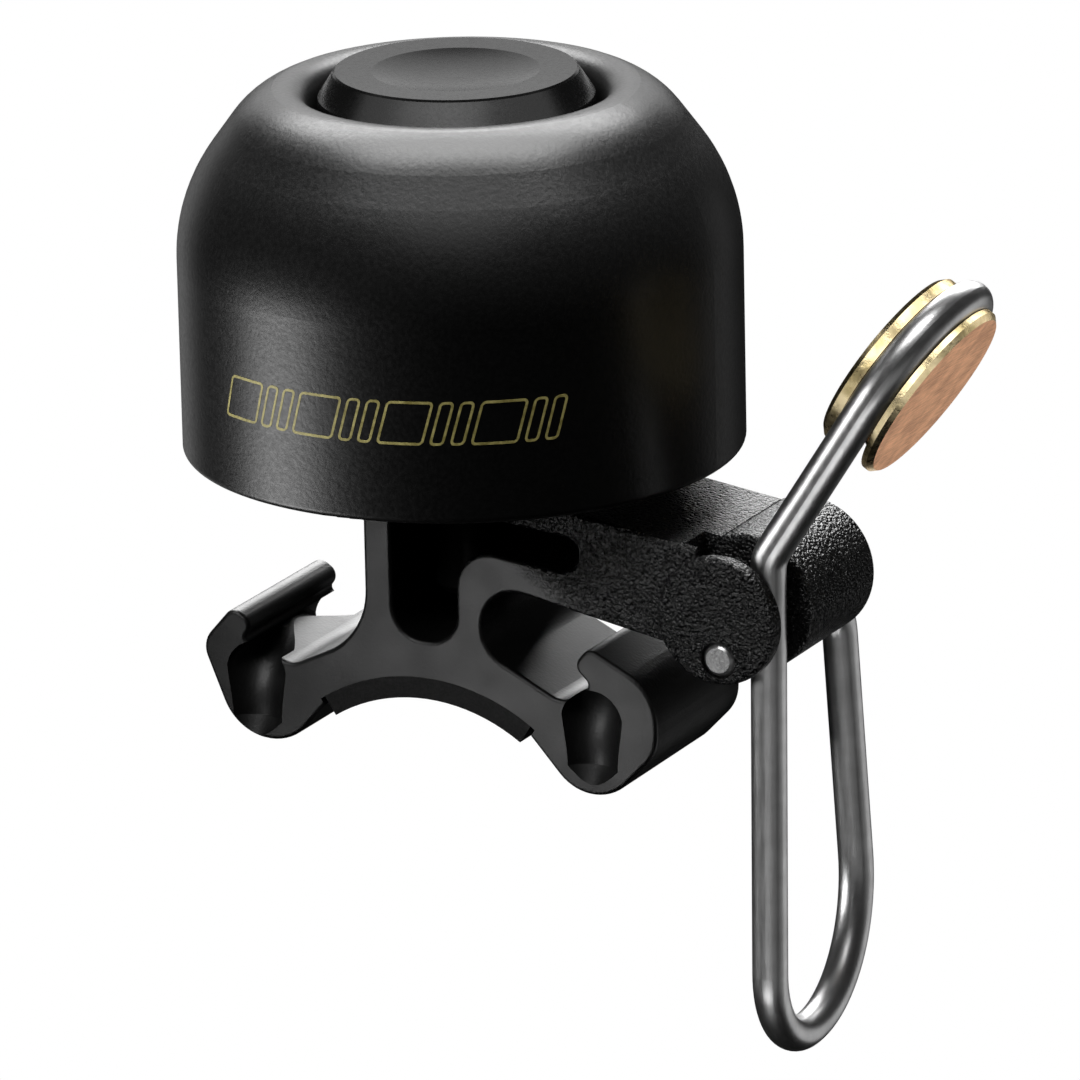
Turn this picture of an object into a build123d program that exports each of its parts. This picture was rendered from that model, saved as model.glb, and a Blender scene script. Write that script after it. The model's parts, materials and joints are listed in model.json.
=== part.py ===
"""Small handlebar bell: a dome on a hooked bracket, struck by a sprung wire lever.

Frame: the Y axis is the handlebar's axis, +Z is up along the bell's own axis and
+X points to the striker. Lengths are in millimetres.
"""
from build123d import *
from math import asin, cos, degrees, radians, sin, tan
import os

# --- Driving dimensions -------------------------------------------------------------
BAR_RADIUS = 11.1            # a 22.2 mm handlebar
PAD_THICKNESS = 1.3          # rubber liner between bar and bracket
RIM_Z = 25.4                 # plane of the dome's open rim
ARM_HALF_DEPTH = 5.45        # bracket web, arm and hooks, half their depth along Y
EDGE_ROUND = 0.25            # rounding of the bracket's long edges
POCKET_BACK_Y = 4.5          # the pocket in the post and arm is closed behind this plane

# Dome, heights from the rim plane
DOME_RADIUS = 16.5
DOME_WALL = 1.8
DOME_STRAIGHT = 11.6         # height of the cylindrical skirt
SHOULDER_RADIUS = 10.8
SHOULDER_TURN = 36.3         # degrees that the shoulder arc turns
SLOPE_LENGTH = 2.1           # flat cone between shoulder and crest
CREST_RADIUS = 5.6
CREST_END_RADIUS = 10.7      # distance from the axis where the crest curls inwards
LIP_RADIUS = 1.53            # roll of the crest into the recess
RECESS_FLOOR = 16.6
DOME_HOLE_RADIUS = 3.5
RIM_ROUND = 0.4

# Cap, heights from the rim plane
CAP_TOP = 22.5
CAP_TOP_RADIUS = 7.15
CAP_RADIUS = 8.05
CAP_CONE_BOTTOM = 21.0
CAP_BOTTOM = 19.4
CAP_SHELL = 0.9
CAP_DISH = 0.5               # depth of the dished top
CAP_DISH_RADIUS = 4.9
CAP_DISH_EDGE = 0.05         # step where the dish meets the flat rim
CAP_EDGE = 0.12              # bevel of the cap's edges
CAP_SOCKET_RADIUS = 4.75     # inner radius of the ring that grips the load washer
CAP_SOCKET_DROP = 1.4        # that ring reaches below the cap's skirt

# Screw stack, from the recess floor upwards, and the pedestal below
SCREW_RADIUS = 1.95
SCREW_LENGTH = 28.0
SCREW_HEAD_RADIUS = 3.8
SCREW_HEAD_HEIGHT = 1.7
SCREW_CLEARANCE = 2.15       # radius of plain holes round the screw
SCREW_TIP = 0.5              # chamfer of the screw's end
HEX_SOCKET = 2.5             # across flats
ISOLATOR_FLANGE = 0.6
LOAD_WASHER = 0.8
LOCK_WASHER = 1.0
LOCK_WASHER_RADIUS = 3.6
LOCK_WASHER_GAP = 0.7
LOCK_WASHER_TILT = 25        # degrees that the split leans
LOWER_ISOLATOR = 1.2
INSERT_RADIUS = 2.7
INSERT_LENGTH = 8.0
INSERT_WAIST_DEPTH = 0.4
INSERT_BAND = 3.0            # height of each knurled band
PEDESTAL_RADIUS = 4.0
PEDESTAL_FLANGE_RADIUS = 5.0
PEDESTAL_LOW_Z = 24.0        # the pedestal grows out of the post from here
SCREW_HOLE_LOW_Z = 20.0      # inside the upright slot
FLANGE_EDGE = 1.2            # height of the flange's rim, above a 1 mm cone
FIT_PLAY = 0.03              # play round bushes and thread

# Striker: boss, pivot, wire and hammer
BOSS_X, BOSS_Z = 19.6, 18.7
BOSS_RADIUS = 4.13
BOSS_HALF_DEPTH = 5.97
BOSS_EDGE = 0.35
CHEEK_X, CHEEK_Z = 19.2, 18.5    # front cheek, a thinner disc before the slot
CHEEK_RADIUS = 3.8
SLOT_Y = (-5.05, -2.55)      # the slot that the near leg of the wire swings in
SLOT_X = 16.9                # the slot is open to the right of this plane
SKIN_X = 17.75               # end of the arm's thin skin in front of the slot
BOSS_SPACE_X = 30            # cuts at the boss run out to here
BOSS_SPACE_Z = (10, 30)
PIVOT_X, PIVOT_Z = 19.35, 16.22
WIRE_RADIUS = 1.05
WIRE_END_CHAMFER = 0.3
PIVOT_CLEARANCE = 0.05
NEAR_LEG_Y = -3.8
FAR_LEG_Y = 9.7
LOOP_BOTTOM_Z = -8.55
PIVOT_BEND = 3.0             # centre-line radii of the wire, pivot to eye
LOOP_FAR_BEND = 8.2
LOOP_NEAR_BEND = 5.2
LEAN_BEND = 2.5
LEAN = 32.8                  # degrees from vertical of the wire above the bend
BEND = (21.62, 22.07)        # X, Z of the bend in the near leg
HAMMER_REACH = 12.0          # from the bend to the hammer's centre
HAMMER_RADIUS = 5.75
HAMMER_INNER_HALF = 2.0      # from the groove's middle to the striking face
HAMMER_OUTER_HALF = 1.75
HAMMER_BEVEL = 0.3
EYE_RADIUS = 5.65            # centre line of the wire round the hammer
EYE_WRAP = 215.0             # degrees of wire round the hammer
GROOVE_RADIUS = 1.1

# Band hooks: an elastic band's loop sits in a saddle and hangs down both end faces
BAND_RADIUS = 2.0            # grooves for a band up to 4 mm thick
BAND_X = (-11.4, 10.85)
BAND_LOOP_RADIUS = 6.6       # centre line of the loop over the saddle
BAND_LOOP_Z = 8.3            # height of the loop's centre
GROOVE_TOP_Z = 11.1          # centre of the groove's rounded top
GROOVE_LOW_Z = 7.3           # where the groove runs out

SEAT_RADIUS = BAR_RADIUS + PAD_THICKNESS
SEAT_ANGLE = 34.95           # half angle of the seat cut in the bracket
PAD_ANGLE = 33.4             # half angle of the rubber liner

RECESS_Z = RIM_Z + RECESS_FLOOR
DOME_CEILING_Z = RECESS_Z - DOME_WALL
PEDESTAL_TOP_Z = DOME_CEILING_Z - LOWER_ISOLATOR
LOAD_WASHER_Z = RECESS_Z + ISOLATOR_FLANGE
LOCK_WASHER_Z = LOAD_WASHER_Z + LOAD_WASHER
HEAD_Z = LOCK_WASHER_Z + LOCK_WASHER


# --- Helpers ------------------------------------------------------------------------
def turned(points):
    """Solid of revolution about Z from a closed outline of (radius, height) points."""
    face = make_face(Plane.XZ * Polyline(*points, close=True))
    return revolve(face, Axis.Z)


def rod(x, z, y_low, y_high, radius):
    """Cylinder along Y."""
    middle = (y_low + y_high) / 2
    return Pos(x, middle, z) * Rot(90, 0, 0) * Cylinder(radius, y_high - y_low)


def block(x, y, z):
    """Box between the pairs of limits x, y and z."""
    centre = [(low + high) / 2 for low, high in (x, y, z)]
    return Pos(*centre) * Box(x[1] - x[0], y[1] - y[0], z[1] - z[0])


def washer(outer, inner, low, high):
    """Plain ring about Z."""
    return turned([(inner, low), (outer, low), (outer, high), (inner, high)])


# --- Bell and the stack that holds it -------------------------------------------------
def bell_dome():
    """Spun cup with a constant wall, a rolled crest and a recess for the cap."""
    inner_radius = DOME_RADIUS - DOME_WALL
    turn_left = 90 - SHOULDER_TURN
    shoulder_x = DOME_RADIUS - SHOULDER_RADIUS
    crest_x = (shoulder_x + (SHOULDER_RADIUS - CREST_RADIUS) * cos(radians(SHOULDER_TURN))
               - SLOPE_LENGTH * sin(radians(SHOULDER_TURN)))
    crest_rest = degrees(asin((CREST_END_RADIUS - crest_x) / CREST_RADIUS))
    recess_radius = CREST_END_RADIUS - LIP_RADIUS * (1 + sin(radians(crest_rest)))
    pocket_radius = recess_radius + DOME_WALL
    pocket_rest = degrees(asin((pocket_radius - crest_x) / (CREST_RADIUS - DOME_WALL)))
    with BuildPart() as part:
        with BuildSketch(Plane.XZ):
            with BuildLine():
                skirt = Line((DOME_RADIUS, 0), (DOME_RADIUS, DOME_STRAIGHT))
                shoulder = JernArc(skirt @ 1, skirt % 1, SHOULDER_RADIUS, SHOULDER_TURN)
                slope = Line(shoulder @ 1, shoulder @ 1 + (shoulder % 1) * SLOPE_LENGTH)
                crest = JernArc(slope @ 1, slope % 1, CREST_RADIUS, turn_left - crest_rest)
                lip = JernArc(crest @ 1, crest % 1, LIP_RADIUS, 90 + crest_rest)
                inside = Line((inner_radius, 0), (inner_radius, DOME_STRAIGHT))
                under_shoulder = JernArc(inside @ 1, inside % 1,
                                         SHOULDER_RADIUS - DOME_WALL, SHOULDER_TURN)
                under_slope = Line(under_shoulder @ 1,
                                   under_shoulder @ 1 + (under_shoulder % 1) * SLOPE_LENGTH)
                under_crest = JernArc(under_slope @ 1, under_slope % 1,
                                      CREST_RADIUS - DOME_WALL, turn_left - pocket_rest)
                Polyline(lip @ 1, ((lip @ 1).X, RECESS_FLOOR), (DOME_HOLE_RADIUS, RECESS_FLOOR),
                         (DOME_HOLE_RADIUS, RECESS_FLOOR - DOME_WALL),
                         (pocket_radius, RECESS_FLOOR - DOME_WALL), under_crest @ 1)
                Line((inner_radius, 0), (DOME_RADIUS, 0))
            make_face()
        revolve(axis=Axis.Z)
        rim = part.edges().filter_by(GeomType.CIRCLE).group_by(Axis.Z)[0]
        fillet(rim, RIM_ROUND)
    return Pos(0, 0, RIM_Z) * part.part


def top_cap():
    """Moulded cover with a dished top; its inner ring grips the load washer."""
    socket_outer = CAP_SOCKET_RADIUS + CAP_SHELL
    skirt_inner = CAP_RADIUS - CAP_SHELL
    under_top = CAP_TOP - CAP_DISH - CAP_SHELL
    socket_low = CAP_BOTTOM - CAP_SOCKET_DROP
    with BuildPart() as part:
        with BuildSketch(Plane.XZ):
            with BuildLine():
                dish = ThreePointArc((0, CAP_TOP - CAP_DISH),
                                     (CAP_DISH_RADIUS * 0.6, CAP_TOP - CAP_DISH * 0.72),
                                     (CAP_DISH_RADIUS, CAP_TOP - CAP_DISH_EDGE))
                Polyline(dish @ 1, (CAP_TOP_RADIUS - CAP_EDGE, CAP_TOP),
                         (CAP_TOP_RADIUS, CAP_TOP - CAP_EDGE),
                         (CAP_RADIUS, CAP_CONE_BOTTOM), (CAP_RADIUS, CAP_BOTTOM),
                         (skirt_inner, CAP_BOTTOM), (skirt_inner, CAP_CONE_BOTTOM - CAP_EDGE),
                         (socket_outer + CAP_EDGE, under_top), (socket_outer, socket_low),
                         (CAP_SOCKET_RADIUS, socket_low), (CAP_SOCKET_RADIUS, under_top),
                         (0, under_top), dish @ 0)
            make_face()
        revolve(axis=Axis.Z)
    return Pos(0, 0, RIM_Z) * part.part


def centre_screw():
    """Button-head screw with a hex socket, driven down through the dome."""
    head = Pos(0, 0, HEAD_Z + SCREW_HEAD_HEIGHT / 2) * Cylinder(SCREW_HEAD_RADIUS,
                                                              SCREW_HEAD_HEIGHT)
    head = fillet(head.edges().group_by(Axis.Z)[-1], SCREW_HEAD_HEIGHT * 0.75)
    shank = Pos(0, 0, HEAD_Z - SCREW_LENGTH / 2) * Cylinder(SCREW_RADIUS, SCREW_LENGTH)
    shank = chamfer(shank.edges().group_by(Axis.Z)[0], SCREW_TIP)
    socket_depth = SCREW_HEAD_HEIGHT * 0.7
    socket = extrude(RegularPolygon(HEX_SOCKET / 2, 6, major_radius=False), socket_depth)
    return head + shank - Pos(0, 0, HEAD_Z + SCREW_HEAD_HEIGHT - socket_depth) * socket


def lock_washer():
    """Split spring washer."""
    ring = washer(LOCK_WASHER_RADIUS, SCREW_CLEARANCE, LOCK_WASHER_Z, HEAD_Z)
    split = Box(LOCK_WASHER_RADIUS, LOCK_WASHER_GAP, 3 * LOCK_WASHER)
    middle = (LOCK_WASHER_RADIUS, 0, LOCK_WASHER_Z + LOCK_WASHER / 2)
    return ring - Pos(*middle) * Rot(LOCK_WASHER_TILT, 0, 0) * split


def load_washer():
    """Flat steel washer that spreads the screw's load on the isolator."""
    return washer(CAP_SOCKET_RADIUS - FIT_PLAY, SCREW_CLEARANCE, LOAD_WASHER_Z, LOCK_WASHER_Z)


def upper_isolator():
    """Nylon flanged bush that keeps the dome off the screw."""
    bush = DOME_HOLE_RADIUS - FIT_PLAY
    return turned([(SCREW_CLEARANCE, DOME_CEILING_Z), (bush, DOME_CEILING_Z),
                   (bush, RECESS_Z), (CAP_SOCKET_RADIUS, RECESS_Z),
                   (CAP_SOCKET_RADIUS, LOAD_WASHER_Z), (SCREW_CLEARANCE, LOAD_WASHER_Z)])


def lower_isolator():
    """Rubber washer between the pedestal and the dome."""
    return washer(PEDESTAL_FLANGE_RADIUS - 0.3, SCREW_CLEARANCE, PEDESTAL_TOP_Z, DOME_CEILING_Z)


def threaded_insert():
    """Brass insert in the pedestal, with two knurled bands and a waist."""
    low = PEDESTAL_TOP_Z - INSERT_LENGTH
    bore = SCREW_RADIUS + FIT_PLAY
    waist = INSERT_RADIUS - INSERT_WAIST_DEPTH
    low_band = low + INSERT_BAND
    high_band = PEDESTAL_TOP_Z - INSERT_BAND
    return turned([(bore, low), (INSERT_RADIUS, low), (INSERT_RADIUS, low_band),
                   (waist, low_band + INSERT_WAIST_DEPTH), (waist, high_band - INSERT_WAIST_DEPTH),
                   (INSERT_RADIUS, high_band), (INSERT_RADIUS, PEDESTAL_TOP_Z),
                   (bore, PEDESTAL_TOP_Z)])


# --- Bracket --------------------------------------------------------------------------
def bracket_outline():
    """Front view of web, hooks, post and arm: (x, z, corner radius), anticlockwise."""
    return [
        (-3.98, 25.0, 0.9),                                            # post, top left
        (-4.0, 14.43, 4.6), (-9.0, 12.0, 1.5), (-12.3, 13.15, 0.3),    # left shoulder, channel
        (-11.5, 14.14, 0.7), (-12.94, 15.1, 0.8),                      # left lip
        (-15.12, 12.6, 1.5), (-11.66, 4.2, 3.3),                       # left hook, outside
        (-6.55, 10.14, 0), (0, 4, 0), (6.57, 9.92, 0),                 # cleared by the seat cut
        (10.77, 5.25, 3.0), (15.05, 9.75, 2.6), (15.05, 13.5, 3.3),    # right hook, outside
        (10.65, 15.65, 0.7), (9.6, 14.42, 0.7),                        # right lip
        (10.8, 13.3, 0.4), (9.0, 12.0, 1.5), (3.75, 14.55, 2.3),       # right channel, shoulder
        (3.75, 18.85, 2.3), (17.5, 16.33, 0), (BOSS_X, BOSS_Z, 0),     # window and arm, underside
        (18.0, 22.57, 0), (0.65, 25.0, 6.0),                           # arm, top
    ]


def bracket_cavity():
    """The upright pocket below the dome and the teardrop that it opens into."""
    return [(-2.15, 14.65, 1.9), (2.1, 14.65, 1.9), (2.1, 20.85, 2.4), (9.95, 19.95, 1.1),
            (10.3, 22.12, 0.9), (-2.15, 23.25, 0.7)]


def outline_face(corners):
    """Face in the XZ plane from corners with fillet radii."""
    points = [(x, z) for x, z, radius in corners]
    radii = [radius for x, z, radius in corners]
    return make_face(Plane.XZ * FilletPolyline(*points, radius=radii, close=True))


def seat_cut():
    """Sector under the bracket that holds the rubber liner."""
    reach = 2 * SEAT_RADIUS
    side = reach * tan(radians(SEAT_ANGLE))
    wedge = make_face(Plane.XZ * Polyline((0, 0), (side, reach), (-side, reach), close=True))
    return extrude(wedge, 2 * BOSS_HALF_DEPTH, both=True) & rod(
        0, 0, -BOSS_HALF_DEPTH, BOSS_HALF_DEPTH, SEAT_RADIUS)


def band_groove(x):
    """Grooves in a hook's end faces, joined by a saddle across its channel."""
    deep = 2 * BOSS_HALF_DEPTH
    loop = Pos(x, 0, BAND_LOOP_Z) * Rot(0, 90, 0) * Torus(BAND_LOOP_RADIUS, BAND_RADIUS)
    sides = (x - BAND_RADIUS, x + BAND_RADIUS)
    mouth = (block(sides, (-deep, deep), (BAND_LOOP_Z, GROOVE_TOP_Z))
             + rod(x, GROOVE_TOP_Z, -deep, deep, BAND_RADIUS))
    groove = loop & mouth & block(sides, (-deep, deep), (BAND_LOOP_Z, 2 * BAND_LOOP_Z))
    depth_left = BAND_LOOP_RADIUS - ARM_HALF_DEPTH
    taper = BAND_LOOP_Z - GROOVE_LOW_Z
    for y in (-BAND_LOOP_RADIUS, BAND_LOOP_RADIUS):
        groove += Pos(x, y, GROOVE_LOW_Z + taper / 2) * Cone(depth_left, BAND_RADIUS, taper)
    return groove


def boss():
    """Barrel at the arm's end, a slot for the wire and a front cheek."""
    barrel = rod(BOSS_X, BOSS_Z, SLOT_Y[1], BOSS_HALF_DEPTH, BOSS_RADIUS)
    barrel = fillet(barrel.edges().filter_by(GeomType.CIRCLE), BOSS_EDGE)
    cheek = rod(CHEEK_X, CHEEK_Z, -BOSS_HALF_DEPTH, SLOT_Y[1] + 2 * BOSS_EDGE, CHEEK_RADIUS)
    cheek = fillet(cheek.edges().filter_by(GeomType.CIRCLE).group_by(Axis.Y)[0], BOSS_EDGE)
    return barrel + (cheek - block((SLOT_X, BOSS_SPACE_X), SLOT_Y, BOSS_SPACE_Z))


def bracket():
    """One moulding: web with a bar seat, two band hooks, post, arm and slotted boss."""
    body = extrude(outline_face(bracket_outline()), ARM_HALF_DEPTH, both=True)
    pocket = Pos(0, POCKET_BACK_Y, 0) * outline_face(bracket_cavity())
    body -= extrude(pocket, 3 * ARM_HALF_DEPTH, dir=(0, -1, 0))
    rims = body.edges().group_by(Axis.Y)
    body = fillet(rims[0] + rims[-1], EDGE_ROUND)
    body -= seat_cut()
    for x in BAND_X:
        body -= band_groove(x)
    through = (-2 * BOSS_HALF_DEPTH, 2 * BOSS_HALF_DEPTH)
    body -= block((SLOT_X, BOSS_SPACE_X), SLOT_Y, BOSS_SPACE_Z)
    body -= block((SKIN_X, BOSS_SPACE_X), (through[0], SLOT_Y[0]), BOSS_SPACE_Z)
    pedestal = washer(PEDESTAL_RADIUS, SCREW_CLEARANCE, PEDESTAL_LOW_Z, PEDESTAL_TOP_Z)
    rim_low = PEDESTAL_TOP_Z - FLANGE_EDGE
    cone_low = rim_low - (PEDESTAL_FLANGE_RADIUS - PEDESTAL_RADIUS)
    flange = turned([(PEDESTAL_RADIUS, cone_low), (PEDESTAL_FLANGE_RADIUS, rim_low),
                     (PEDESTAL_FLANGE_RADIUS, PEDESTAL_TOP_Z),
                     (SCREW_CLEARANCE, PEDESTAL_TOP_Z), (SCREW_CLEARANCE, cone_low)])
    body = body + boss() + pedestal + flange
    body -= rod(PIVOT_X, PIVOT_Z, *through, WIRE_RADIUS + PIVOT_CLEARANCE)
    body -= washer(SCREW_CLEARANCE, 0, SCREW_HOLE_LOW_Z, PEDESTAL_TOP_Z)
    body -= Pos(0, 0, PEDESTAL_TOP_Z - INSERT_LENGTH / 2) * Cylinder(INSERT_RADIUS, INSERT_LENGTH)
    return body


def saddle_pad():
    """Rubber liner bonded into the bracket's seat."""
    reach = 2 * SEAT_RADIUS
    side = reach * tan(radians(PAD_ANGLE))
    wedge = make_face(Plane.XZ * Polyline((0, 0), (side, reach), (-side, reach), close=True))
    ring = (rod(0, 0, -ARM_HALF_DEPTH, ARM_HALF_DEPTH, SEAT_RADIUS)
            - rod(0, 0, -ARM_HALF_DEPTH, ARM_HALF_DEPTH, BAR_RADIUS))
    return ring & extrude(wedge, ARM_HALF_DEPTH, both=True)


# --- Striker --------------------------------------------------------------------------
UP_WIRE = Vector(sin(radians(LEAN)), 0, cos(radians(LEAN)))      # along the leaning wire
OUTWARD = Vector(cos(radians(LEAN)), 0, -sin(radians(LEAN)))     # hammer axis, away from dome
HAMMER_CENTRE = (Vector(BEND[0], NEAR_LEG_Y + EYE_RADIUS, BEND[1]) + UP_WIRE * HAMMER_REACH)


def eye_point(angle):
    """Point on the centre line of the wire round the hammer."""
    turn = radians(angle)
    return HAMMER_CENTRE + (Vector(0, -cos(turn), 0) + UP_WIRE * sin(turn)) * EYE_RADIUS


def striker_wire():
    """One spring wire: pivot, far leg, thumb loop, near leg, lean and hammer eye."""
    route = [(PIVOT_X, -BOSS_HALF_DEPTH, PIVOT_Z), (PIVOT_X, FAR_LEG_Y, PIVOT_Z),
             (20.9, FAR_LEG_Y, LOOP_BOTTOM_Z), (21.3, NEAR_LEG_Y, LOOP_BOTTOM_Z),
             (BEND[0], NEAR_LEG_Y, BEND[1]), eye_point(0)]
    with BuildPart() as part:
        with BuildLine() as path:
            FilletPolyline(*route,
                           radius=[PIVOT_BEND, LOOP_FAR_BEND, LOOP_NEAR_BEND, LEAN_BEND])
            ThreePointArc(eye_point(0), eye_point(EYE_WRAP / 2), eye_point(EYE_WRAP))
        with BuildSketch(Plane(origin=route[0], z_dir=(0, 1, 0))):
            Circle(WIRE_RADIUS)
        sweep(path=path.wires()[0])
        chamfer(part.edges().group_by(Axis.Y)[0], WIRE_END_CHAMFER)
    return part.part


def hammer_spool():
    """Turned brass spool with a round-bottomed groove for the wire eye."""
    low, high = -HAMMER_INNER_HALF, HAMMER_OUTER_HALF
    flat_radius = HAMMER_RADIUS - HAMMER_BEVEL
    with BuildPart() as part:
        with BuildSketch(Plane.XZ):
            with BuildLine():
                lower = Polyline((0, low), (flat_radius, low), (HAMMER_RADIUS, low + HAMMER_BEVEL),
                                 (HAMMER_RADIUS, -GROOVE_RADIUS), (EYE_RADIUS, -GROOVE_RADIUS))
                groove = ThreePointArc(lower @ 1, (EYE_RADIUS - GROOVE_RADIUS, 0),
                                       (EYE_RADIUS, GROOVE_RADIUS))
                Polyline(groove @ 1, (HAMMER_RADIUS, GROOVE_RADIUS),
                         (HAMMER_RADIUS, high - HAMMER_BEVEL), (flat_radius, high),
                         (0, high), (0, low))
            make_face()
        revolve(axis=Axis.Z)
    return Plane(origin=HAMMER_CENTRE, x_dir=(0, 1, 0), z_dir=OUTWARD) * part.part


SUBPARTS = (bell_dome, top_cap, centre_screw, lock_washer, load_washer, upper_isolator,
            lower_isolator, threaded_insert, bracket, saddle_pad, striker_wire, hammer_spool)

os.makedirs("parts", exist_ok=True)
for make in SUBPARTS:
    export_step(make(), "parts/" + make.__name__ + ".step")
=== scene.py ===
"""Looks for the handlebar bell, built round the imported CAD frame. Lengths are in metres."""
import json
from math import cos, pi, radians, sin

import bmesh
import bpy
from mathutils import Matrix, Vector

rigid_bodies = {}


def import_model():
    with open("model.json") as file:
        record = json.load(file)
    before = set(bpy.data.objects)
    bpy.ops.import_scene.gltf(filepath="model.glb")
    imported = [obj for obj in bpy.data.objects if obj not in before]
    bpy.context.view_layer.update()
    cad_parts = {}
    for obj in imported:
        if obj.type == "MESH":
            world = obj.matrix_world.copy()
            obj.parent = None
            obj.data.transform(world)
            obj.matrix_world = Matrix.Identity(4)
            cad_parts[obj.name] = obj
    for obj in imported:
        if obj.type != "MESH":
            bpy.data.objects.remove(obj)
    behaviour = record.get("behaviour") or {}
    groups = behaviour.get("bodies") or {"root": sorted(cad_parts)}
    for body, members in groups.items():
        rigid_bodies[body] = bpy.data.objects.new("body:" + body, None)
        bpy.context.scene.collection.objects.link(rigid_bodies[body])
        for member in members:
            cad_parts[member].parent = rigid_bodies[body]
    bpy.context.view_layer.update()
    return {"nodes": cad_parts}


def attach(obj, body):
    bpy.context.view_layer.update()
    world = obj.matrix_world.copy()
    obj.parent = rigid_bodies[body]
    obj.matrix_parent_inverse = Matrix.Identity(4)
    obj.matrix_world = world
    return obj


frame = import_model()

MM = 0.001

# --- Places on the bell, in its own frame ---------------------------------------------
SKIRT_RADIUS = 16.5 * MM
PIVOT_END = -5.5 * MM                        # the wire's cut end lies in front of this
HAMMER_LEAN = radians(32.8)
HAMMER_AXIS = (cos(HAMMER_LEAN), 0, -sin(HAMMER_LEAN))

# --- Camera: a long lens, a little above the bell and to its right --------------------
AIM = Vector((4.62, 0.41, 19.75)) * MM
DISTANCE = 570.1 * MM
AZIMUTH, ELEVATION, ROLL = radians(27.86), radians(17.65), radians(-1.25)
LENS, SENSOR = 324.7, 36.0                   # millimetres
FAR_CLIP = 20


def add_camera():
    """A camera that looks at AIM; azimuth 0 looks along +Y."""
    back = Vector((sin(AZIMUTH) * cos(ELEVATION), -cos(AZIMUTH) * cos(ELEVATION),
                   sin(ELEVATION)))
    right = Vector((cos(AZIMUTH), sin(AZIMUTH), 0))
    up = back.cross(right)
    right, up = (right * cos(ROLL) + up * sin(ROLL), up * cos(ROLL) - right * sin(ROLL))
    data = bpy.data.cameras.new("camera")
    data.lens, data.sensor_width, data.sensor_fit = LENS, SENSOR, "HORIZONTAL"
    data.clip_end = FAR_CLIP
    camera = bpy.data.objects.new("camera", data)
    bpy.context.scene.collection.objects.link(camera)
    matrix = Matrix((right, up, back)).transposed().to_4x4()
    matrix.translation = AIM + back * DISTANCE
    camera.matrix_world = matrix
    bpy.context.scene.camera = camera


# --- Materials ------------------------------------------------------------------------
MOST = (0.3, 0.7)                            # most of a noise's values lie in this range
MIDDLE = (0.35, 0.65)                        # a narrower range, for a stronger contrast


class Look:
    """A node material with a Principled shader and short calls for what feeds it."""

    def __init__(self, name, **sockets):
        self.material = bpy.data.materials.new(name)
        self.material.use_nodes = True
        self.nodes = self.material.node_tree.nodes
        self.links = self.material.node_tree.links
        self.shader = self.nodes["Principled BSDF"]
        for socket, value in sockets.items():
            self.shader.inputs[socket.replace("_", " ")].default_value = value
        self.place = self.nodes.new("ShaderNodeTexCoord").outputs["Object"]

    def node(self, kind, inputs, **settings):
        """New node; each input is a socket to link or a value to set."""
        made = self.nodes.new(kind)
        for name, value in settings.items():
            setattr(made, name, value)
        for name, value in inputs.items():
            if isinstance(value, bpy.types.NodeSocket):
                self.links.new(value, made.inputs[name])
            else:
                made.inputs[name].default_value = value
        return made

    def noise(self, size, detail=2.0, rough=0.5, stretch=(1, 1, 1)):
        """Noise whose features are about size metres across, stretched along an axis."""
        mapping = self.node("ShaderNodeMapping", {"Vector": self.place,
                                                  "Scale": [1 / s for s in stretch]})
        made = self.node("ShaderNodeTexNoise", {"Vector": mapping.outputs[0], "Scale": 1 / size,
                                                "Detail": detail, "Roughness": rough})
        return made.outputs["Fac"]

    def ramp(self, value, low, high, start=0.0, end=1.0):
        """Linear map of value from low..high to start..end."""
        return self.node("ShaderNodeMapRange", {"Value": value, "From Min": low, "From Max": high,
                                                "To Min": start, "To Max": end}).outputs[0]

    def colours(self, value, first, second):
        """Colour between first and second; each is a socket or three numbers."""
        mix = self.node("ShaderNodeMix", {}, data_type="RGBA")
        self.links.new(value, mix.inputs["Factor"])
        for socket, colour in (("A", first), ("B", second)):
            if isinstance(colour, bpy.types.NodeSocket):
                self.links.new(colour, mix.inputs[socket])
            else:
                mix.inputs[socket].default_value = (*colour, 1)
        return mix.outputs["Result"]

    def blend(self, factor, first, second):
        """Number between first and second; each is a socket or a number."""
        mix = self.node("ShaderNodeMix", {"Factor": factor, "A": first, "B": second})
        return mix.outputs["Result"]

    def facing(self, axis, low, high):
        """0 to 1 as the surface turns to face along axis; low and high are cosines."""
        normal = self.node("ShaderNodeTexCoord", {}).outputs["Normal"]
        dot = self.node("ShaderNodeVectorMath", {0: normal, 1: axis}, operation="DOT_PRODUCT")
        return self.ramp(dot.outputs["Value"], low, high)

    def axis(self, letter):
        """Place along X, Y or Z in the piece's own frame, in metres."""
        return self.node("ShaderNodeSeparateXYZ", {0: self.place}).outputs[letter]

    def math(self, operation, a, b):
        """One arithmetic step on two sockets or numbers."""
        return self.node("ShaderNodeMath", {0: a, 1: b}, operation=operation).outputs[0]

    def bump(self, height, distance):
        """Normal of a surface whose relief is distance metres deep."""
        made = self.node("ShaderNodeBump", {"Height": height, "Distance": distance})
        return made.outputs["Normal"]

    def feed(self, **sockets):
        """Link sockets into the shader; gives the finished material."""
        for socket, value in sockets.items():
            self.links.new(value, self.shader.inputs[socket.replace("_", " ")])
        return self.material


def dome_coat():
    """Satin black coat with a fine orange peel."""
    look = Look("dome_coat")
    peel = look.noise(0.26 * MM, 2, 0.5)
    broad = look.noise(4 * MM)
    return look.feed(Base_Color=look.colours(broad, (0.0012,) * 3, (0.0022,) * 3),
                     Roughness=look.ramp(peel, *MOST, 0.33, 0.41),
                     Normal=look.bump(peel, 0.012 * MM))


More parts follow.
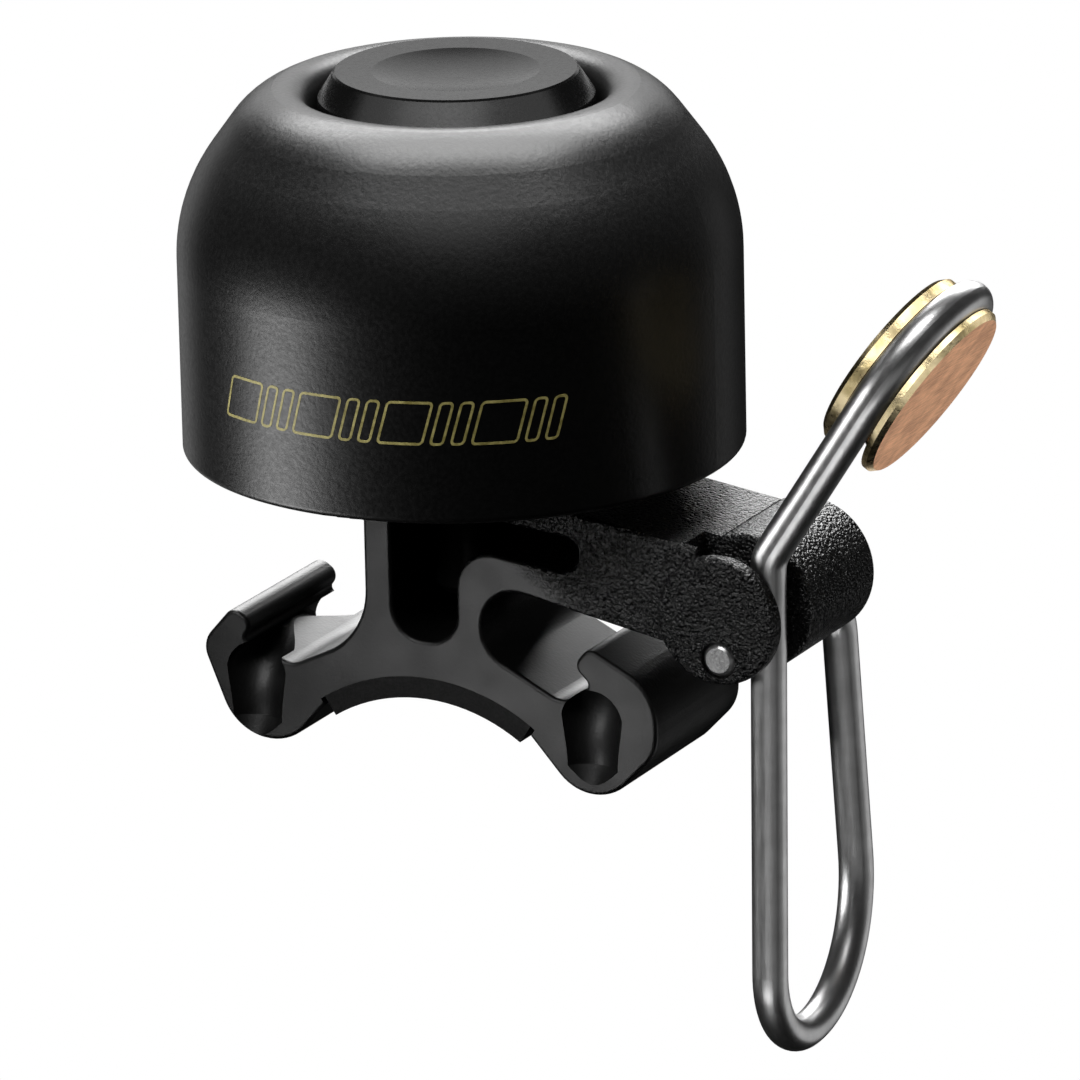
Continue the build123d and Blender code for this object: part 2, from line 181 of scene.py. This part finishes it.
def cap_plastic():
    """Smooth black moulding with a faint texture."""
    look = Look("cap_plastic")
    fine = look.noise(0.2 * MM, 3)
    broad = look.noise(3 * MM)
    return look.feed(Base_Color=look.colours(broad, (0.002,) * 3, (0.004,) * 3),
                     Roughness=look.ramp(fine, *MOST, 0.22, 0.3),
                     Normal=look.bump(fine, 0.0015 * MM))


def bracket_plastic():
    """Spark-eroded grain, coarse on the arm and boss and finer on the web and hooks."""
    look = Look("bracket_plastic")
    grain = look.noise(0.2 * MM, 1.5, 0.5)
    broad = look.noise(3 * MM)
    towards_boss = look.math("ADD", look.math("MULTIPLY", look.axis("X"), 0.75), look.axis("Z"))
    coarse = look.ramp(towards_boss, 24 * MM, 27 * MM)
    depth = look.blend(coarse, 0.012 * MM, 0.26 * MM)
    return look.feed(Base_Color=look.colours(broad, (0.002,) * 3, (0.004,) * 3),
                     Roughness=look.blend(coarse, look.ramp(broad, *MOST, 0.42, 0.48),
                                          look.ramp(grain, *MOST, 0.26, 0.44)),
                     Normal=look.bump(grain, depth))


def rubber(name, shade):
    """Dull dark rubber; shade is its reflectance."""
    look = Look(name, Specular_IOR_Level=0.35)
    fine = look.noise(0.15 * MM, 3)
    return look.feed(Base_Color=look.colours(look.noise(2 * MM), (shade,) * 3, (shade * 1.5,) * 3),
                     Roughness=look.ramp(fine, *MOST, 0.7, 0.85),
                     Normal=look.bump(fine, 0.02 * MM))


def nylon():
    """Off-white nylon that lets a little light in."""
    look = Look("isolator_nylon", Subsurface_Weight=0.2, Subsurface_Scale=0.5 * MM)
    fine = look.noise(0.2 * MM, 3)
    tone = look.colours(look.noise(2 * MM), (0.7, 0.69, 0.64), (0.76, 0.75, 0.7))
    return look.feed(Base_Color=tone,
                     Roughness=look.ramp(fine, *MOST, 0.4, 0.5),
                     Normal=look.bump(fine, 0.006 * MM))


def wire_steel():
    """Drawn stainless wire; its cut end, at the pivot, is rough and pale."""
    look = Look("wire_steel", Metallic=1.0)
    streak = look.noise(0.12 * MM, 2, 0.6, stretch=(1, 1, 18))
    stain = look.noise(1.6 * MM, 2)
    pits = look.noise(0.16 * MM, 3, 0.7)
    end = look.facing((0, -1, 0), 0.95, 0.99)
    cut = look.math("MULTIPLY", end, look.math("LESS_THAN", look.axis("Y"), PIVOT_END))
    shade = look.ramp(stain, *MOST, 0.5, 0.64)
    shade = look.blend(cut, shade, look.ramp(pits, *MOST, 0.28, 0.6))
    roughness = look.blend(cut, look.ramp(streak, *MOST, 0.3, 0.4), 0.6)
    height = look.blend(cut, streak, pits)
    depth = look.blend(cut, 0.005 * MM, 0.05 * MM)
    return look.feed(Base_Color=shade, Roughness=roughness, Normal=look.bump(height, depth))


def screw_steel():
    """Black oxide on steel."""
    look = Look("screw_steel", Metallic=0.6)
    fine = look.noise(0.1 * MM, 3)
    return look.feed(Base_Color=look.colours(look.noise(1.5 * MM), (0.012,) * 3, (0.03,) * 3),
                     Roughness=look.ramp(fine, *MOST, 0.32, 0.45),
                     Normal=look.bump(fine, 0.006 * MM))


def brass(name, first, second):
    """Mottled metal between two tones."""
    look = Look(name, Metallic=1.0)
    mottle = look.noise(0.5 * MM, 3, 0.6)
    fine = look.noise(0.15 * MM, 2)
    return look.feed(Base_Color=look.colours(mottle, first, second),
                     Roughness=look.ramp(fine, *MOST, 0.22, 0.36),
                     Normal=look.bump(mottle, 0.02 * MM))


def hammer_brass():
    """Turned brass; the outer flat is brushed and has a copper tone."""
    look = Look("hammer_brass", Metallic=1.0, Specular_Tint=(1, 0.88, 0.76, 1))
    mottle = look.noise(0.5 * MM, 3, 0.6)
    brush = look.noise(0.12 * MM, 3, 0.7, stretch=(1, 14, 1))
    face = look.facing(HAMMER_AXIS, 0.97, 0.995)
    stain = look.noise(1.6 * MM, 2, 0.6)
    rim = look.colours(look.ramp(stain, *MIDDLE), (0.5, 0.4, 0.2), (0.9, 0.75, 0.46))
    wear = look.math("ADD", look.ramp(brush, *MIDDLE, 0, 0.5),
                     look.ramp(stain, *MIDDLE, 0, 0.5))
    flat = look.colours(wear, (0.42, 0.17, 0.07), (0.97, 0.52, 0.28))
    return look.feed(Base_Color=look.colours(face, rim, flat),
                     Roughness=look.blend(face, look.ramp(mottle, *MOST, 0.22, 0.36), 0.42),
                     Normal=look.bump(look.blend(face, mottle, brush),
                                      look.blend(face, 0.03 * MM, 0.02 * MM)))


def gold_print():
    """Worn gold ink of the band on the skirt."""
    look = Look("gold_print")
    wear = look.noise(0.5 * MM, 3, 0.7)
    broad = look.noise(3 * MM)
    first = look.colours(broad, (0.26, 0.22, 0.06), (0.36, 0.31, 0.09))
    return look.feed(Base_Color=look.colours(look.ramp(wear, *MIDDLE), first, (0.62, 0.55, 0.2)),
                     Roughness=look.ramp(wear, *MOST, 0.4, 0.55))


MATERIALS = {
    "bell_dome": dome_coat, "top_cap": cap_plastic, "bracket": bracket_plastic,
    "saddle_pad": lambda: rubber("liner_rubber", 0.006),
    "lower_isolator": lambda: rubber("isolator_rubber", 0.012),
    "upper_isolator": nylon, "striker_wire": wire_steel, "centre_screw": screw_steel,
    "lock_washer": screw_steel, "load_washer": screw_steel,
    "threaded_insert": lambda: brass("insert_brass", (0.7, 0.5, 0.2), (0.8, 0.6, 0.28)),
    "hammer_spool": hammer_brass,
}


def dress_cad_nodes():
    """Every CAD node gets its own material."""
    for name, node in frame["nodes"].items():
        node.data.materials.clear()
        node.data.materials.append(MATERIALS[name]())


# --- Ornament: a band of outlined slanted bars on the skirt ------------------------------
BAND_START, BAND_END = radians(-117.4), radians(-40.4)
BAND_Z = (30.15 * MM, 32.75 * MM)
BAR_WIDTHS = (2.9, 0.9, 0.9) * 4              # in proportion; the gaps are BAR_GAP
BAR_GAP = 0.35
BAR_SLANT = 0.28                             # sideways shift for each unit of height
BAR_CORNER = 0.3 * MM
LINE_WIDTH = 0.15 * MM
LINE_RAISE = 0.012 * MM
LINE_SUNK = 0.01 * MM
CORNER_STEPS, SIDE_STEPS = 5, 10


def rounded_loop(width, height, corner):
    """Points round a rounded rectangle about the origin, closely spaced along its sides."""
    corners = []
    for quarter, (sx, sy) in enumerate(((1, 1), (-1, 1), (-1, -1), (1, -1))):
        for step in range(CORNER_STEPS + 1):
            turn = (quarter + step / CORNER_STEPS) * pi / 2
            corners.append(Vector((sx * (width / 2 - corner) + corner * cos(turn),
                                   sy * (height / 2 - corner) + corner * sin(turn))))
    loop = []
    for i, point in enumerate(corners):
        after = corners[(i + 1) % len(corners)]
        side = i % (CORNER_STEPS + 1) == CORNER_STEPS
        steps = SIDE_STEPS if side else 1
        loop += [point.lerp(after, k / steps) for k in range(steps)]
    return loop


def add_ornament():
    """Each bar is a thin raised frame, wrapped round the skirt."""
    low, high = BAND_Z
    height = high - low
    arc = (BAND_END - BAND_START) * SKIRT_RADIUS - height * BAR_SLANT
    unit = arc / (sum(BAR_WIDTHS) + BAR_GAP * (len(BAR_WIDTHS) - 1))
    vertices, faces = [], []
    along = height * BAR_SLANT / 2
    for share in BAR_WIDTHS:
        width = share * unit
        outer = rounded_loop(width, height, BAR_CORNER)
        inner = rounded_loop(width - 2 * LINE_WIDTH, height - 2 * LINE_WIDTH,
                             BAR_CORNER - LINE_WIDTH)
        rings = ((outer, -LINE_SUNK), (outer, LINE_RAISE), (inner, LINE_RAISE), (inner, -LINE_SUNK))
        first, count = len(vertices), len(outer)
        for loop, raised in rings:
            for point in loop:
                way = along + width / 2 + point.x + point.y * BAR_SLANT
                turn = BAND_START + way / SKIRT_RADIUS
                radius = SKIRT_RADIUS + raised
                vertices.append((radius * cos(turn), radius * sin(turn),
                                 (low + high) / 2 + point.y))
        for ring in range(len(rings)):
            here, there = first + ring * count, first + (ring + 1) % len(rings) * count
            faces += [(here + i, here + (i + 1) % count, there + (i + 1) % count, there + i)
                      for i in range(count)]
        along += width + BAR_GAP * unit
    add_piece("skirt_ornament", vertices, faces, gold_print(), "bell")


def add_piece(name, vertices, faces, material, body):
    """A mesh piece that rides on a body, with its normals turned outwards."""
    mesh = bpy.data.meshes.new(name)
    mesh.from_pydata(vertices, [], faces)
    mesh.validate()
    bm = bmesh.new()
    bm.from_mesh(mesh)
    bmesh.ops.recalc_face_normals(bm, faces=bm.faces)
    bm.to_mesh(mesh)
    bm.free()
    mesh.materials.append(material)
    piece = bpy.data.objects.new(name, mesh)
    bpy.context.scene.collection.objects.link(piece)
    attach(piece, body)


# --- Stage ------------------------------------------------------------------------------
FLOOR_SIDE = 6.0                             # half of the floor's width
FLOOR_Z = -0.35
FLOOR_GREY, WORLD_GREY = 0.08, 0.03          # what all rays but the camera's see


def white_to_camera(node_tree, other, output):
    """Camera rays see plain white, all other rays see the shader that is given."""
    nodes, links = node_tree.nodes, node_tree.links
    white = nodes.new("ShaderNodeEmission" if output.bl_idname.endswith("Material")
                      else "ShaderNodeBackground")
    white.inputs["Color"].default_value = (1, 1, 1, 1)
    mix = nodes.new("ShaderNodeMixShader")
    links.new(nodes.new("ShaderNodeLightPath").outputs["Is Camera Ray"], mix.inputs[0])
    links.new(other, mix.inputs[1])
    links.new(white.outputs[0], mix.inputs[2])
    links.new(mix.outputs[0], output.inputs["Surface"])


def add_floor():
    """A plain pale floor, well below the bell, which a handlebar would hold in the air."""
    mesh = bpy.data.meshes.new("floor")
    corners = ((-1, -1), (1, -1), (1, 1), (-1, 1))
    mesh.from_pydata([(x * FLOOR_SIDE, y * FLOOR_SIDE, FLOOR_Z) for x, y in corners], [],
                     [(0, 1, 2, 3)])
    floor = bpy.data.objects.new("floor", mesh)
    bpy.context.scene.collection.objects.link(floor)
    look = Look("floor", Roughness=0.9)
    look.shader.inputs["Base Color"].default_value = (*(FLOOR_GREY,) * 3, 1)
    white_to_camera(look.material.node_tree, look.shader.outputs[0], look.nodes["Material Output"])
    mesh.materials.append(look.material)


def add_world():
    """White behind the bell, with a dim grey glow on it."""
    world = bpy.data.worlds.new("world")
    bpy.context.scene.world = world
    world.use_nodes = True
    tree = world.node_tree
    dim = tree.nodes["Background"]
    dim.inputs["Color"].default_value = (*(WORLD_GREY,) * 3, 1)
    white_to_camera(tree, dim.outputs[0], tree.nodes["World Output"])


BELL = ("bell_dome", "skirt_ornament")
CAP = ("top_cap", "centre_screw", "load_washer", "lock_washer", "upper_isolator")
BRACKET = ("bracket", "saddle_pad", "threaded_insert", "lower_isolator")
WIRE = ("striker_wire",)
HAMMER = ("hammer_spool",)
POWER = 4.0                                  # watts for each m2 of a light of radiance 1
WEB = Vector((-13, -5, 19)) * MM
ARM = Vector((16, -5.5, 20)) * MM
FAR = 0.5                                    # how far most lights stand from their aim
WIDE = 180                                   # degrees that most lights spread over

# Name, lit pieces, turn from the camera and rise (degrees), width, height (m) and radiance;
# a narrow light also has its distance, its spread and the place that it shines at.
LIGHTS = [
    ("bell_over", BELL, 0, 88, 0.6, 0.28, 8.0),
    ("bell_back", BELL, 180, 55, 0.6, 0.25, 9.0),
    ("bell_back_low", BELL, 180, 20, 0.5, 0.2, 1.0),
    ("bell_front", BELL, -5, 52, 0.35, 0.3, 0.6),
    ("bell_band", BELL, -80, -26, 0.25, 0.24, 6.5),
    ("bell_left_rim", BELL, -150, -15, 0.2, 0.4, 0.4),
    ("bell_right_edge", BELL, 130, -15, 0.15, 0.4, 0.2),
    ("cap_back", CAP, 180, 20, 0.5, 0.3, 0.58),
    ("cap_front", CAP, -5, 42, 1.1, 0.25, 2.8),
    ("cap_left", CAP, -75, 38, 0.4, 0.25, 0.7),
    ("cap_right", CAP, 75, 38, 0.4, 0.25, 0.7),
    ("bracket_over", BRACKET, 180, 60, 0.4, 0.28, 12.0),
    ("bracket_back", BRACKET, 180, 26, 0.3, 0.28, 7.0),
    ("bracket_front", BRACKET, -15, 60, 0.3, 0.2, 0.5),
    ("bracket_right", BRACKET, 88, -35, 0.3, 0.3, 1.2),
    ("bracket_web", BRACKET, -57, -18, 0.035, 0.035, 0.05, 0.09, 26, WEB),
    ("bracket_arm", BRACKET, -57, -18, 0.035, 0.035, 0.18, 0.09, 24, ARM),
    ("bracket_grain", BRACKET, -45, 34, 0.16, 0.12, 11.0),
    ("wire_front", WIRE, 8, -18, 0.7, 0.3, 0.15),
    ("wire_left", WIRE, -80, -18, 0.3, 0.3, 0.04),
    ("wire_right", WIRE, 78, -18, 0.35, 0.3, 0.16),
    ("wire_stripe_left", WIRE, -80, 4, 0.3, 0.14, 5.5),
    ("wire_lean", WIRE, -22, -46, 0.4, 0.2, 2.2),
    ("wire_stripe_low", WIRE, 37, -62, 0.35, 0.3, 5.5),
    ("wire_behind", WIRE, 115, -22, 0.4, 0.3, 0.5),
    ("wire_over", WIRE, -20, 75, 0.3, 0.3, 4.0),
    ("wire_back", WIRE, 170, 28, 0.4, 0.3, 4.0),
    ("hammer_right", HAMMER, 62, -28, 0.5, 0.4, 0.8),
    ("hammer_behind", HAMMER, 118, -5, 0.4, 0.4, 0.8),
    ("hammer_face", HAMMER, 158, -32, 0.35, 0.3, 0.7),
    ("hammer_low", HAMMER, -60, -20, 0.4, 0.4, 0.7),
    ("hammer_front", HAMMER, -22, 31, 0.4, 0.3, 2.4),
    ("hammer_over", HAMMER, 60, 69, 0.45, 0.35, 2.6),
    ("hammer_back", HAMMER, 146, 32, 0.4, 0.3, 2.6),
]


def add_light(name, lit, turn, rise, width, height, radiance, distance=FAR, spread=WIDE,
              aim=AIM):
    """Soft area light that shines at aim from turn and rise and lights only some pieces."""
    azimuth, rise = AZIMUTH + radians(turn), radians(rise)
    away = Vector((sin(azimuth) * cos(rise), -cos(azimuth) * cos(rise), sin(rise)))
    data = bpy.data.lights.new(name, "AREA")
    data.shape, data.size, data.size_y = "RECTANGLE", width, height
    data.spread = radians(spread)
    data.energy = POWER * width * height * radiance
    light = bpy.data.objects.new(name, data)
    bpy.context.scene.collection.objects.link(light)
    light.matrix_world = (Matrix.Translation(aim + away * distance)
                          @ away.to_track_quat("Z", "Y").to_matrix().to_4x4())
    light.visible_camera = False
    receivers = bpy.data.collections.new(name + "_lit")
    for piece in bpy.data.objects:
        if piece.name in lit:
            receivers.objects.link(piece)
    light.light_linking.receiver_collection = receivers


add_camera()
dress_cad_nodes()
add_ornament()
add_floor()
add_world()
for light in LIGHTS:
    add_light(*light)
bpy.context.scene.view_settings.view_transform = "Standard"
